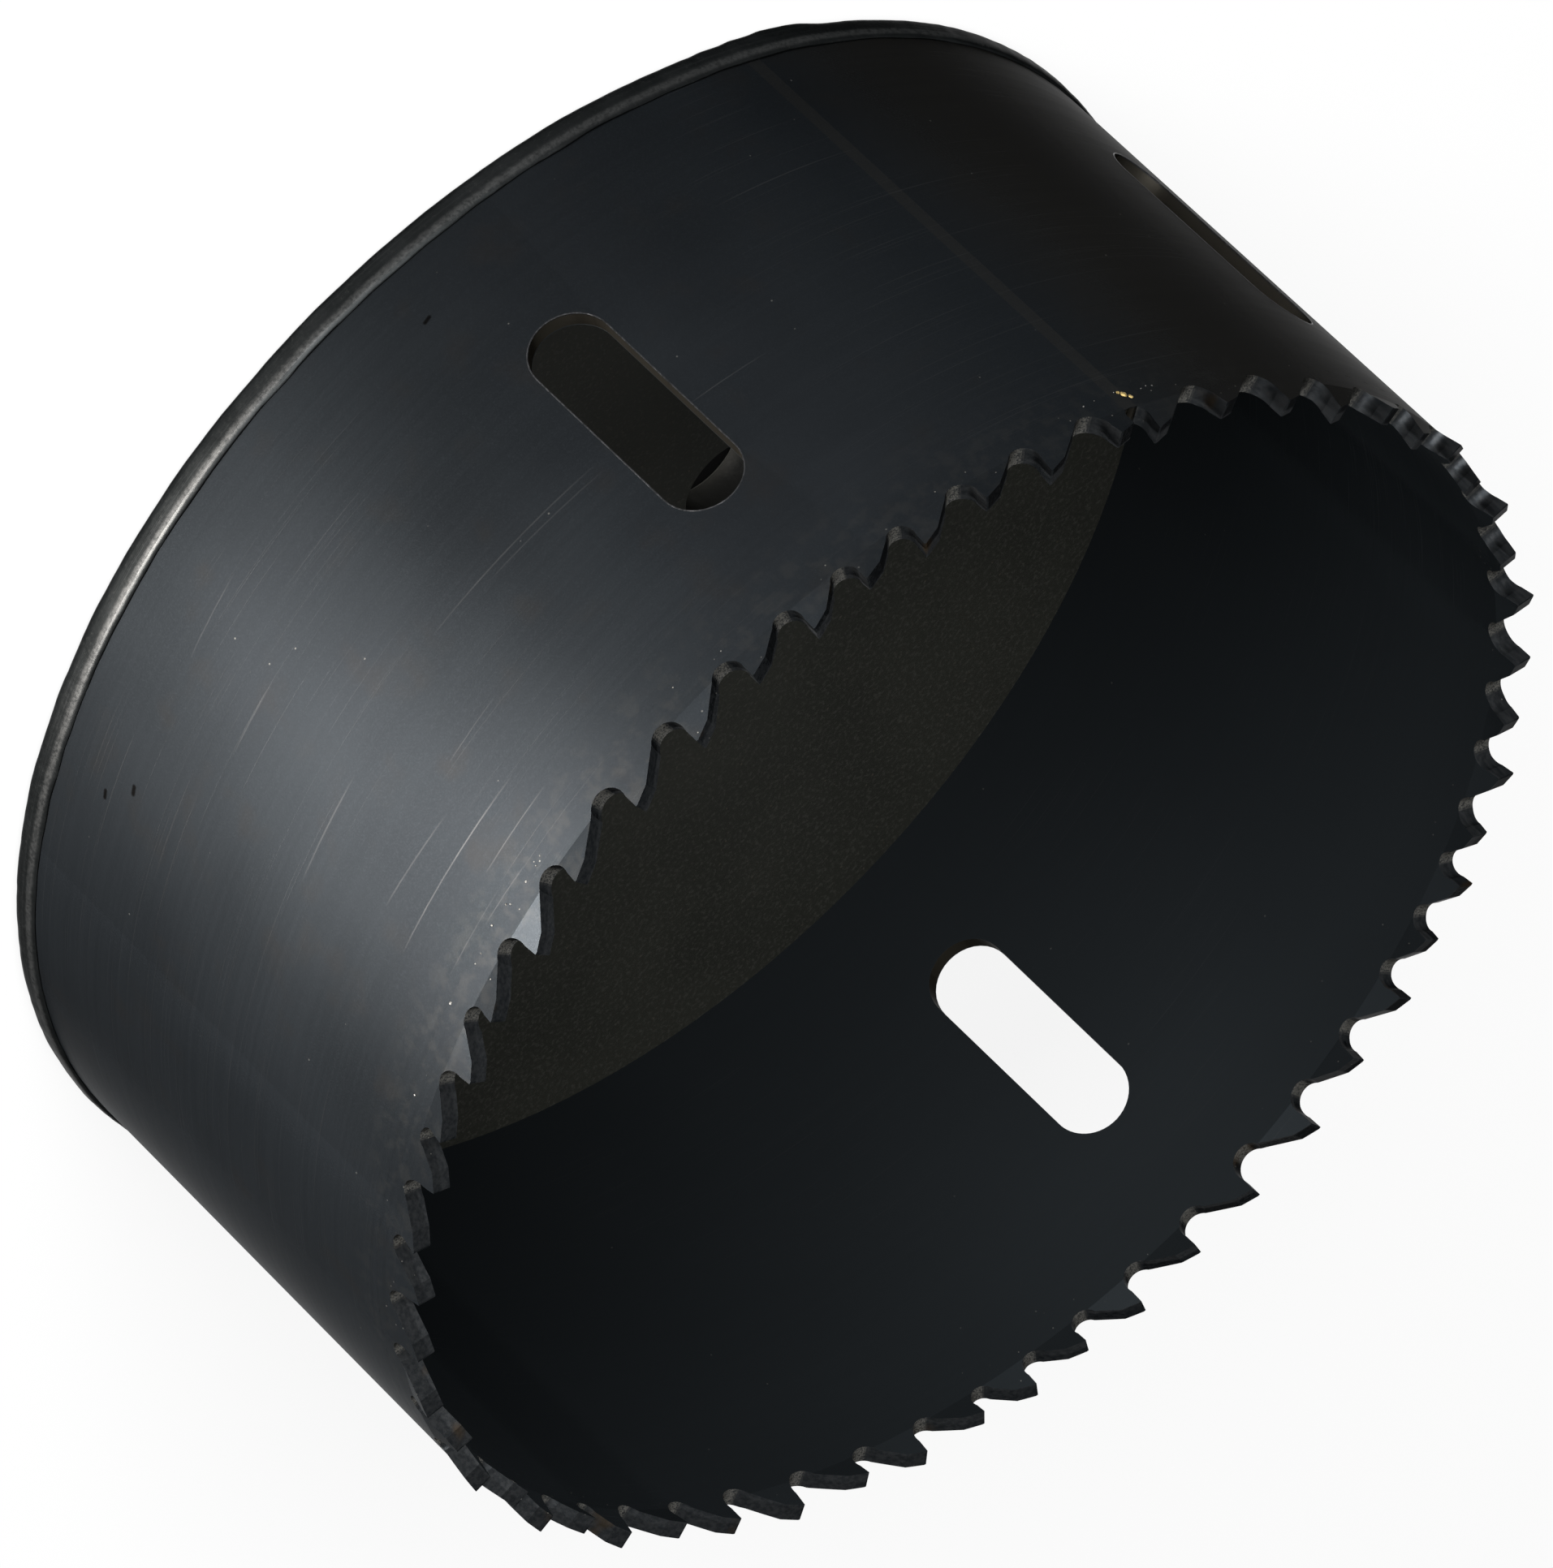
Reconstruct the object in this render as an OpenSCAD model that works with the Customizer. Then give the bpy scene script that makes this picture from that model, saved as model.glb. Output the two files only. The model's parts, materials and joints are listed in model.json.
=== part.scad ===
// Hole saw: a toothed steel cup with a welded end plate, resting on the plate with its mouth up.
// The origin is the centre of the plate's back face and +Z runs along the axis towards the teeth.

/* [Cup] */
// Diameter of the hole that the saw cuts, over the outward-set tooth tips
cut_diameter = 89; // [80:1:100]
// Height from the plate's back face to the tooth tips
overall_height = 41.2; // [37:0.1:50]
// Thickness of the steel band
band_thickness = 1.27; // [1:0.01:1.6]

/* [Slots] */
// Angles of the slots about the axis
slot_angles = [90, 192.2, 257.1];
// Width of a slot
slot_width = 5.5; // [4.6:0.1:7]
// Length of a slot along the axis, over its round ends
slot_length = 18.1; // [12:0.1:22]
// Height of the middle of a slot above the back face
slot_middle_height = 21.3; // [18:0.1:22]

/* [Teeth] */
// Number of teeth round the rim
tooth_count = 56; // [50:1:60]
// Spacings from tip to tip within one group of teeth, each as a share of their mean
pitch_pattern = [1.079, 1.015, 0.956, 0.876, 0.868, 0.94, 1.029, 1.069, 1.167];
// Spacing of the last and the first tip across the seam, as a share of that mean
seam_pitch_share = 0.657; // [0.62:0.001:0.9]
// Sideways set of each tooth in the group: 1 outwards, -1 inwards, 0 straight
set_pattern = [1, -1, 1, -1, 1, -1, 1, -1, 0];
// Distance that a tip is bent sideways
tooth_set = 0.35; // [0.1:0.01:0.45]
// Depth below the tips at which the teeth start to bend
bend_depth = 1.9; // [1.5:0.05:1.9]
// Depth of a gullet as a share of its pitch
gullet_share = 0.46; // [0.42:0.01:0.5]
// Least depth of a gullet
gullet_least = 1.95; // [1.95:0.01:2.3]
// Radius of a gullet's floor as a share of its depth
gullet_round_share = 0.47; // [0.4:0.01:0.5]
// Depth to which a gullet's floor undercuts the tooth's face
gullet_undercut = 0.05; // [0.04:0.01:0.1]
// Length of the flat behind a tip
relief_length = 1.2; // [0.9:0.05:1.4]
// Drop of that flat over its length
relief_drop = 0.44; // [0.3:0.01:0.6]
// Width of the blunt land along a tip's edge
tip_land = 0.15; // [0.1:0.01:0.3]
// Width of the hard tooth strip below the tips
strip_width = 3.7; // [3.2:0.1:5]

/* [Seam] */
// Angle of the band's seam about the axis
seam_angle = 225.8; // [218:0.1:232]
// Width of the weld that closes the band
seam_width = 1; // [0.6:0.1:1.4]

/* [End plate] */
// Thickness of the end plate
plate_thickness = 3.8; // [3.2:0.1:6]
// Bore radius of the threaded arbor hole, at the thread's crests
arbor_bore_radius = 7.25; // [6:0.05:8]
// Chamfer at both mouths of the arbor hole
arbor_chamfer = 0.6; // [0.2:0.1:1]
// Radius of the circle on which the drive-pin holes lie
pin_circle_radius = 11.75; // [11.75:0.05:16]
// Radius of a drive-pin hole
pin_hole_radius = 3.3; // [2.5:0.05:3.4]
// Number of drive-pin holes
pin_hole_count = 2; // [2:1:4]
// Angle of the first drive-pin hole about the axis
pin_angle = 10.2; // [0:0.1:90]

/* [Plate weld] */
// Height of the weld bead's edge on the band above the back face
bead_height = 2.4; // [2:0.1:3]
// Distance that the bead stands proud of the band
bead_proud = 0.35; // [0.2:0.01:0.45]
// Radius of the bead's corner at the back face
bead_corner_radius = 1; // [0.5:0.05:1.1]
// Depth of the weld groove between the plate and the band
weld_leg = 1.3; // [0.8:0.1:1.6]
// Angle of the thicker stretch where the bead starts and ends
overlap_angle = 223.2; // [215:0.1:230]
// Length of that stretch as an angle
overlap_span = 6.5; // [3:0.5:12]
// Extra height of the bead on that stretch
overlap_rise = 0.12; // [0.05:0.01:0.14]

/* [Hidden] */

// Roundness of the wide circles and of the small ones
$fn = 180;
small_fn = 36;

// Turn between the flats that round the weld bead
corner_step = 45;

// Reach of a cutting shape past the surface that it cuts
over = 1;

wall_outer_radius = cut_diameter / 2 - tooth_set;
wall_inner_radius = wall_outer_radius - band_thickness;
strip_bottom = overall_height - strip_width;
bend_height = overall_height - bend_depth;

last_tooth = tooth_count - 1;

// Sum of the first n spacings of the tooth pattern
function pitch_sum(n) = n == 0 ? 0 : pitch_sum(n - 1) + pitch_pattern[(n - 1) % len(pitch_pattern)];

// Angle of the mean spacing
mean_pitch_angle = 360 / (pitch_sum(last_tooth) + seam_pitch_share);

// Angle of the gap that follows tooth k
function gap_angle(k) =
    mean_pitch_angle * (k == last_tooth ? seam_pitch_share : pitch_pattern[k % len(pitch_pattern)]);

// Straight width of the gap that follows tooth k
function gap_width(k) = wall_outer_radius * sin(gap_angle(k));

// Depth and floor radius of the gullet that follows tooth k
function gullet_depth(k) = max(gullet_share * gap_width(k), gullet_least);
function gullet_radius(k) = gullet_round_share * gullet_depth(k);

// Angle from the tip of tooth k to the lowest line of the gullet that follows it
function floor_step(k) = asin(gullet_radius(k) / wall_outer_radius);

// The seam runs into the lowest line of the last gullet
first_tip_angle = seam_angle - floor_step(last_tooth) + gap_angle(last_tooth);

function tip_angle(k) = first_tip_angle + mean_pitch_angle * pitch_sum(k);
function floor_angle(k) = tip_angle(k) + floor_step(k);

// Places children on the band at an angle, drawn as seen from outside with x round the rim and y up
module across_band(angle, height) {
    rotate([0, 0, angle])
        translate([wall_inner_radius - over, 0, height])
            rotate([90, 0, 90])
                linear_extrude(band_thickness + 2 * over)
                    children();
}

// Plain length of the band between two heights
module band(bottom, top) {
    rotate_extrude()
        translate([wall_inner_radius, bottom])
            square([band_thickness, top - bottom]);
}

// Full-height cut that opens the band at its seam
module seam_gap() {
    across_band(seam_angle, 0)
        translate([-seam_width / 2, -over])
            square([seam_width, overall_height + 2 * over]);
}

// Front of the gap after a tooth, with x from its tip: the upright face and the round gullet floor
module gap_front(width, centre, radius) {
    polygon([
        [0, over],
        [0, centre.y],
        centre - [0, radius / 2],
        [width / 2, over]
    ]);
    translate(centre)
        circle(radius, $fn = small_fn);
}

// Back of the gap, with x from the next tip: the slope up from the floor and the flat behind the tip
module gap_back(width, centre, radius) {
    floor_centre = centre - [width, 0];
    flat_start = [-tip_land - relief_length, -relief_drop];
    reach = flat_start - floor_centre;
    slope_reach = radius - gullet_undercut;
    slope = atan2(reach.y, reach.x) + asin(slope_reach / norm(reach));
    flat_end = [relief_length * over / relief_drop - tip_land, over];
    polygon([
        flat_end,
        flat_start,
        floor_centre + slope_reach * [sin(slope), -cos(slope)],
        floor_centre,
        [floor_centre.x, over]
    ]);
}

module gap_cut(k) {
    width = gap_width(k);
    radius = gullet_radius(k);
    centre = [radius - gullet_undercut, radius - gullet_depth(k)];
    across_band(tip_angle(k), overall_height)
        gap_front(width, centre, radius);
    across_band(tip_angle(k) + gap_angle(k), overall_height)
        gap_back(width, centre, radius);
}

// Ring with the strip's section, its upper part leaning sideways by a multiple of the tooth set
module bent_ring(direction) {
    shift = tooth_set * direction;
    rotate_extrude()
        polygon([
            [wall_inner_radius, strip_bottom],
            [wall_outer_radius, strip_bottom],
            [wall_outer_radius, bend_height],
            [wall_outer_radius + shift, overall_height],
            [wall_inner_radius + shift, overall_height],
            [wall_inner_radius, bend_height]
        ]);
}

// Wedge that holds tooth k, from the lowest line of the gullet before it to that of the gullet after it
module tooth_wedge(k) {
    start = k == 0 ? floor_angle(last_tooth) - 360 : floor_angle(k - 1);
    reach = 2 * wall_outer_radius;
    translate([0, 0, strip_bottom - over])
        linear_extrude(strip_width + 2 * over)
            polygon([
                [0, 0],
                reach * [cos(start), sin(start)],
                reach * [cos(floor_angle(k)), sin(floor_angle(k))]
            ]);
}

// Section of the bead from the weld groove round the corner to its edge on the band
module bead_section(proud) {
    bead_radius = wall_outer_radius + proud;
    corner = [bead_radius - bead_corner_radius, bead_corner_radius];
    polygon([
        [wall_inner_radius - weld_leg, 0],
        for (turn = [-90 : corner_step : 0])
            corner + bead_corner_radius * [cos(turn), sin(turn)],
        for (turn = [0 : corner_step : 90])
            [wall_outer_radius, bead_height - proud] + proud * [cos(turn), sin(turn)],
        [wall_outer_radius, weld_leg],
        [wall_inner_radius, weld_leg]
    ]);
}

module cup_wall() {
    color("darkslategray")
        difference() {
            band(weld_leg, strip_bottom);
            for (angle = slot_angles)
                across_band(angle, slot_middle_height) {
                    straight = slot_length - slot_width;
                    square([slot_width, straight], center = true);
                    for (side = [-1, 1])
                        translate([0, side * straight / 2])
                            circle(slot_width / 2, $fn = small_fn);
                }
            seam_gap();
        }
}

module tooth_strip() {
    color("dimgray")
        difference() {
            difference() {
                union() {
                    band(strip_bottom, bend_height);
                    for (direction = [-1, 0, 1])
                        intersection() {
                            bent_ring(direction);
                            union()
                                for (k = [0 : last_tooth])
                                    if (set_pattern[k % len(set_pattern)] == direction)
                                        tooth_wedge(k);
                        }
                }
                for (k = [0 : last_tooth])
                    gap_cut(k);
            }
            seam_gap();
        }
}

module end_plate() {
    color("gray")
        difference() {
            rotate_extrude()
                polygon([
                    [arbor_bore_radius + arbor_chamfer, 0],
                    [wall_inner_radius - weld_leg, 0],
                    [wall_inner_radius, weld_leg],
                    [wall_inner_radius, plate_thickness],
                    [arbor_bore_radius + arbor_chamfer, plate_thickness],
                    [arbor_bore_radius, plate_thickness - arbor_chamfer],
                    [arbor_bore_radius, arbor_chamfer]
                ]);
            for (k = [0 : pin_hole_count - 1])
                rotate([0, 0, pin_angle + k * 360 / pin_hole_count])
                    translate([pin_circle_radius, 0, -over])
                        cylinder(h = plate_thickness + 2 * over, r = pin_hole_radius);
        }
}

module plate_weld() {
    color("saddlebrown")
        union() {
            rotate_extrude()
                bead_section(bead_proud);
            rotate([0, 0, overlap_angle])
                rotate_extrude(angle = overlap_span)
                    bead_section(bead_proud + overlap_rise);
        }
}

module seam_weld() {
    color("peru")
        difference() {
            intersection() {
                band(weld_leg, bend_height);
                seam_gap();
            }
            gap_cut(last_tooth);
        }
}

cup_wall();
tooth_strip();
end_plate();
plate_weld();
seam_weld();
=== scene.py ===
"""Hole saw seen from the photograph's viewing angle: finishes, fine forms, light and camera.

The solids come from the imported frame. Two of them, the end plate and the weld bead round it, are
replaced by pieces with more detail, and the other three get a finish. Sizes are in millimetres and
angles in degrees round the saw's axis from +X, unless a comment says otherwise.
"""
import json
import math
import random

import bmesh
import bpy
from mathutils import Matrix, Vector, noise

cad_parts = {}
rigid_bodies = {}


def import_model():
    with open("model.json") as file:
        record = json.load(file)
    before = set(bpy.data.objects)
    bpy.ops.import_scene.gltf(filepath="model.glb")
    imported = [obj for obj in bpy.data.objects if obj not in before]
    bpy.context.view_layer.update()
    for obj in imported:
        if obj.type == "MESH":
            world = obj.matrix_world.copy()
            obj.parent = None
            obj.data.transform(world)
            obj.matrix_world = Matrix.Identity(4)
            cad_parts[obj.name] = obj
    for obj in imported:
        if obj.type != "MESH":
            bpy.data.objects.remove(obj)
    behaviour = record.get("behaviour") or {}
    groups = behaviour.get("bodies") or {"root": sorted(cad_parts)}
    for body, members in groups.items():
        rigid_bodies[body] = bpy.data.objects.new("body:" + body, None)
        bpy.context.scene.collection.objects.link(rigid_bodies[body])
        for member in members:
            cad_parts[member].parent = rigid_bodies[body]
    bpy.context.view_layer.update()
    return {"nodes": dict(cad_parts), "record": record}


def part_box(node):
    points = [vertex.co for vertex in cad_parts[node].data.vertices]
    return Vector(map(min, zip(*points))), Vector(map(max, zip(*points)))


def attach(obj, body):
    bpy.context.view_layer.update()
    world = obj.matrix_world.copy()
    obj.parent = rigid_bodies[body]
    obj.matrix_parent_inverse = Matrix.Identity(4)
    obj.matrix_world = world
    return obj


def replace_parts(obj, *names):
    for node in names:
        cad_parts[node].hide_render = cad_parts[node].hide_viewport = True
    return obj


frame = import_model()
nodes = frame["nodes"]

MM = 0.001
X, Z = 0, 2
SEED = 7


def lowest(node, axis):
    """Where a CAD node starts along an axis, in mm."""
    return round(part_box(node)[0][axis] / MM, 3)


def highest(node, axis):
    """Where a CAD node ends along an axis, in mm."""
    return round(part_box(node)[1][axis] / MM, 3)


# Sizes that the frame gives
WALL_OUTER = highest("cup_wall", X)
WALL_INNER = highest("end_plate", X)
TOOTH_TOP = highest("tooth_strip", Z)
PLATE_THICKNESS = highest("end_plate", Z)
WELD_LEG = lowest("cup_wall", Z)
BEAD_HEIGHT = highest("plate_weld", Z)
BEAD_PROUD = round(highest("plate_weld", X) - WALL_OUTER, 3)
mounts = {mount["name"]: mount["dims"] for mount in frame["record"]["mounts"]}
ARBOR_BORE = mounts["arbor_thread"]["r_mm"]
ARBOR_CHAMFER = round((PLATE_THICKNESS - mounts["arbor_thread"]["length_mm"]) / 2, 3)
PIN_CIRCLE = mounts["drive_pins"]["pcd_mm"] / 2
PIN_HOLE = mounts["drive_pins"]["hole_r_mm"]
PIN_COUNT = mounts["drive_pins"]["count"]

# Sizes repeated from the part, which the frame doesn't state
SEAM_ANGLE = 225.8
PIN_ANGLE = 10.2
SLOT_ANGLES = (90.0, 192.2, 257.1)
SLOT_WIDTH = 5.5
SLOT_LENGTH = 18.1
SLOT_MIDDLE = 21.3
BEAD_CORNER = 1.0
RELIEF_DROP = 0.44

# Thread of the arbor hole, 5/8-18. Its flanks are stretched and clipped into flat crests and roots
THREAD_PITCH = 1.411
THREAD_DEPTH = 0.69
FLANK_STRETCH = 1.25
CREST_FLAT = 0.12

# Plate: bevel of the pin holes, points round each circle, and levels along the thread
PIN_BEVEL = 0.25
PLATE_POINTS = 360
PIN_POINTS = 64
BORE_POINTS = 180
BORE_LEVELS = 76

# Bead: points round it, how far its mean side and edge lie inside the solid's, its corner and its toe
BEAD_POINTS = 1080
SIDE_SINK = 0.05
EDGE_SINK = 0.1
CORNER_STEPS = 7
TOE_LENGTH = 0.7
TOE_STEPS = 8
TOE_TUCK = 0.02

# Waves of the bead: how often they swing, per mm, and how far
LONG_WAVE = (0.22, 0.05)
SHORT_WAVE = (1.1, 0.025)
CORNER_WAVE = (0.3, 0.12)
EDGE_WAVE = (0.35, 0.10)

# Lump where the bead's ends overlap: angles over which it rises, angles and share of each fall, how far
# it stands out, and how much it sharpens the corner
LUMP_RISE = (215.5, 220.0)
LUMP_FALLS = ((222.9, 224.4, 0.4), (226.0, 227.4, 0.3), (229.0, 230.6, 0.3))
LUMP_PROUD = 0.12
LUMP_SHARPENS = 0.45

# Slot lips: steps round each end, the section as distance from the slot's edge and rise off the band,
# and how uneven the crest is
LIP_STEPS = 18
LIP_FOOT = (0.0, -0.06)
LIP_INNER = (-0.015, 0.005)
LIP_CREST = (0.03, 0.028)
LIP_OUTER = (0.11, -0.02)
LIP_ROUGH = 0.012

# Spatter by the seam: its angle and height, then each crumb's shift in both, depth in the wall and size
SPATTER = (225.2, 38.1)
CRUMBS = ((0.0, 0.0, 0.05, 0.25), (-0.35, 0.35, 0.07, 0.18), (0.3, -0.3, 0.03, 0.15))

# Torn flakes: stretches of the rim as first angle, last angle and how many, then heights and sizes
FLAKE_STRETCHES = ((222.0, 238.0, 6), (287.0, 313.0, 10))
FLAKE_LOW, FLAKE_HIGH = 37.6, 38.1
FLAKE_SMALL, FLAKE_LARGE = 0.04, 0.085
FLAKE_DEPTH = 0.01

# Every crumb and flake: how uneven it is, how often that swings over its size, its least and most
# stretch along X, Y and Z, and how far its pattern may be shifted
GRAIN_UNEVEN = 0.6
GRAIN_SWING = 1.4
GRAIN_STRETCH = ((0.6, 1.4), (0.6, 1.4), (0.6, 1.3))
GRAIN_SHIFT = 50

# Scratches on the band: angle and height of both ends, width and strength
SCRATCHES = (
    (262.0, 22.4, 281.0, 22.3, 0.08, 0.40),
    (262.0, 23.1, 275.0, 22.9, 0.07, 0.28),
    (284.5, 32.9, 302.0, 32.8, 0.075, 0.62),
    (290.5, 30.6, 300.0, 30.1, 0.08, 0.40),
    (288.5, 38.5, 295.0, 38.4, 0.06, 0.45),
    (289.0, 37.3, 295.0, 37.2, 0.05, 0.40),
    (291.5, 36.7, 300.5, 36.7, 0.05, 0.25),
    (281.0, 28.5, 287.5, 28.7, 0.05, 0.30),
    (293.5, 23.4, 304.0, 23.6, 0.09, 0.30),
    (293.0, 14.6, 300.0, 14.7, 0.08, 0.25),
    (245.5, 23.4, 254.0, 23.3, 0.06, 0.35),
    (288.5, 7.9, 296.5, 8.4, 0.07, 0.25),
    (283.0, 35.2, 292.0, 35.3, 0.06, 0.40),
)
# Dark nicks on the band: angle, height and radius, then how far each runs round and up
NICKS = ((311.3, 6.5, 0.22), (308.9, 8.6, 0.26), (263.0, 6.4, 0.20))
NICK_RUN = 0.42
NICK_RISE = 0.1

# Colours of the band, its seam and the marks on them, in linear light
BAND_OXIDE = (0.0082, 0.0096, 0.0110)
SEAM_OXIDE = (0.0108, 0.0115, 0.0119)
BROWN_OXIDE = (0.012, 0.0105, 0.009)
OXIDE_PAST_SEAM = (0.0145, 0.0142, 0.0133)
WORN_RIM = (0.0195, 0.0198, 0.0190)
SLOT_WALL = (0.0190, 0.0176, 0.0145)
INNER_WALL = (0.0128, 0.0152, 0.0170)
HAIR_SCRATCH = (0.04, 0.041, 0.042)
LONG_SCRATCH = (0.032, 0.033, 0.034)
NICK = (0.002, 0.002, 0.002)
DUST = (0.10, 0.10, 0.092)
# Painted shade laid on the band low down
PAINTED_SHADE_BLACK = (0.0, 0.0, 0.0)

# Colours of the teeth's cut faces
GROUND_DARK = (0.0105, 0.0118, 0.0130)
GROUND_LIGHT = (0.0190, 0.0203, 0.0215)
STAIN = (0.026, 0.017, 0.008)
BARE_GULLET = (0.085, 0.083, 0.076)
GRIT = (0.16, 0.155, 0.14)

# Colours of the plate and the bead
PLATE_DARK = (0.0132, 0.0137, 0.0116)
PLATE_LIGHT = (0.0160, 0.0165, 0.0138)
PLATE_GRAIN = (0.034, 0.034, 0.030)
PLATE_GRIT = (0.045, 0.040, 0.032)
# Painted shade on the walls of the holes
PAINTED_HOLE_SHADE = (0.002, 0.002, 0.0018)
BEAD_DARK = (0.0070, 0.0078, 0.0080)
BEAD_LIGHT = (0.0094, 0.0103, 0.0106)
BEAD_RUBBED = (0.017, 0.018, 0.0185)
# Painted highlight along the bead's rolled toe
BEAD_PAINTED_HIGHLIGHT = (0.044, 0.045, 0.045)
BEAD_GRAIN = (0.036, 0.036, 0.034)

# Colours of torn and melted metal
LIP_STEEL = (0.0130, 0.0138, 0.0150)
SPATTER_GOLD = (0.26, 0.19, 0.07)
FLAKE_STEEL = (0.12, 0.118, 0.110)

# Where the finish of the slots' walls fades, as depth below the outer wall, and where that of the inner
# wall fades, as distance outside it: on the band, and on the teeth, which are bent
SLOT_EDGE = (0.14, 0.08)
WALL_EDGE = (0.03, 0.1)
TOOTH_EDGE = (0.3, 0.5)

# Oxide: length round the band over which its paler side fades, heights over which painted shade darkens it
# low down and by how much, and heights over which wear at the rim sets in
SEAM_FADE = (-12.0, 3.0)
PAINTED_FOOT_SHADE = (4.0, 30.0, 0.14)
RIM_WEAR = (33.5, 38.0)

# Depth below the bead's top where its painted highlight starts and ends, and below the plate's upper face
# where painted shade darkens the walls of the holes
PAINTED_HIGHLIGHT_START = (0.95, 0.62)
PAINTED_HIGHLIGHT_END = (0.45, 0.22)
HOLE_SHADE = (0.5, 0.15)

# How patterns are stretched along X, Y and Z: a larger number swings more often
ROLLING = (0.035, 0.035, 2.6)
HAIRS = (1.3, 1.3, 5.0)
RUBBING = (0.05, 0.05, 5.0)
GRINDING = (1.6, 1.6, 0.35)

# Roughness of the oxide from cloud to cloud, and how much rougher the seam is
BAND_ROUGH = (0.41, 0.44)
SEAM_ROUGHER = 0.03

# Gloss of scale and of torn metal, and how much of its reflection steel keeps at a grazing view
SCALE_GLOSS = 0.05
TORN_GLOSS = 0.4
BAND_EDGE_TINT = 0.37
BEAD_EDGE_TINT = 0.40

# Stage: half side and height of the floor in metres, its colour away from the object and its painted
# shadow under it, how much of its white is its own where it is seen, how wide the painted shadow fades in
# under the object, and the world's light on the object
FLOOR_HALF = 6.0
FLOOR_HEIGHT = -0.0001
FLOOR_PALE = (0.9, 0.9, 0.9)
FLOOR_PAINTED_SHADOW = (0.01, 0.01, 0.01)
FLOOR_WHITE = 0.85
PAINTED_SHADOW_FADE = 2.0
WORLD_LIGHT = 0.25

# Lamps: the points that they aim at, in metres, and the colour of the warm one
OBJECT_MIDDLE = (0.0, 0.0, 0.02)
HIGHLIGHT = (0.016, -0.041, 0.036)
WARM_WHITE = (1.0, 0.93, 0.87)

# Camera: place, target and clipping in metres
CAMERA_PLACE = Vector((0.009414, -0.828094, 0.528612))
CAMERA_TARGET = Vector((0.0, 0.000194, 0.020316))
CLIP_START, CLIP_END = 0.05, 50.0
CAMERA_ROLL = 133.784
CAMERA_LENS = 355.976
SENSOR_WIDTH = 36.0


class Graph:
    """Short calls for building a node tree."""

    def __init__(self, tree):
        self.tree = tree
        self.nodes = tree.nodes

    def link(self, source, target):
        """Join a socket to another one, or set a plain number, vector or colour on it."""
        if isinstance(source, bpy.types.NodeSocket):
            self.tree.links.new(source, target)
        elif target.type == "RGBA":
            target.default_value = (*source, 1.0)
        else:
            target.default_value = source

    def new(self, kind, **settings):
        node = self.nodes.new(kind)
        for key, value in settings.items():
            setattr(node, key, value)
        return node

    def math(self, operation, a, b=0.0, clamp=False):
        node = self.new("ShaderNodeMath", operation=operation, use_clamp=clamp)
        self.link(a, node.inputs[0])
        self.link(b, node.inputs[1])
        return node.outputs[0]

    def plus(self, a, b):
        return self.math("ADD", a, b)

    def minus(self, a, b):
        return self.math("SUBTRACT", a, b)

    def times(self, a, *others):
        for other in others:
            a = self.math("MULTIPLY", a, other)
        return a

    def vector(self, operation, a, b=None):
        node = self.new("ShaderNodeVectorMath", operation=operation)
        self.link(a, node.inputs[0])
        if b is not None:
            self.link(b, node.inputs[1])
        return node.outputs["Value" if operation in ("LENGTH", "DOT_PRODUCT") else "Vector"]

    def height_of(self, vector):
        """Third part of a vector."""
        node = self.new("ShaderNodeSeparateXYZ")
        self.link(vector, node.inputs[0])
        return node.outputs[Z]

    def join(self, x, y, z):
        node = self.new("ShaderNodeCombineXYZ")
        for value, socket in zip((x, y, z), node.inputs):
            self.link(value, socket)
        return node.outputs[0]

    def noise(self, vector, scale, detail=2.0, rough=0.55):
        node = self.new("ShaderNodeTexNoise")
        self.link(vector, node.inputs["Vector"])
        node.inputs["Scale"].default_value = scale
        node.inputs["Detail"].default_value = detail
        node.inputs["Roughness"].default_value = rough
        return node.outputs["Fac"]

    def cell_distance(self, vector, scale):
        """Distance to the middle of the nearest cell, for specks and grit."""
        node = self.new("ShaderNodeTexVoronoi")
        self.link(vector, node.inputs["Vector"])
        node.inputs["Scale"].default_value = scale
        return node.outputs["Distance"]

    def span(self, value, low, high, to_low=0.0, to_high=1.0, smooth=True):
        """Map a value from one span to another, held at both ends."""
        node = self.new("ShaderNodeMapRange", interpolation_type="SMOOTHSTEP" if smooth else "LINEAR")
        self.link(value, node.inputs["Value"])
        for key, number in (("From Min", low), ("From Max", high), ("To Min", to_low), ("To Max", to_high)):
            node.inputs[key].default_value = number
        return node.outputs["Result"]

    def below(self, value, low, high):
        """Mask that is 1 below the low number and 0 above the high one."""
        return self.span(value, low, high, 1.0, 0.0)

    def mix(self, amount, a, b):
        node = self.new("ShaderNodeMix", data_type="RGBA")
        self.link(amount, node.inputs["Factor"])
        self.link(a, node.inputs[6])
        self.link(b, node.inputs[7])
        return node.outputs[2]

    def seen_ray(self):
        """1 where the camera sees a place, directly or by way of metal and glass, and 0 elsewhere."""
        path = self.new("ShaderNodeLightPath").outputs
        direct = self.plus(path["Is Camera Ray"], path["Is Glossy Ray"])
        return self.math("ADD", direct, path["Is Transmission Ray"], clamp=True)


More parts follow.
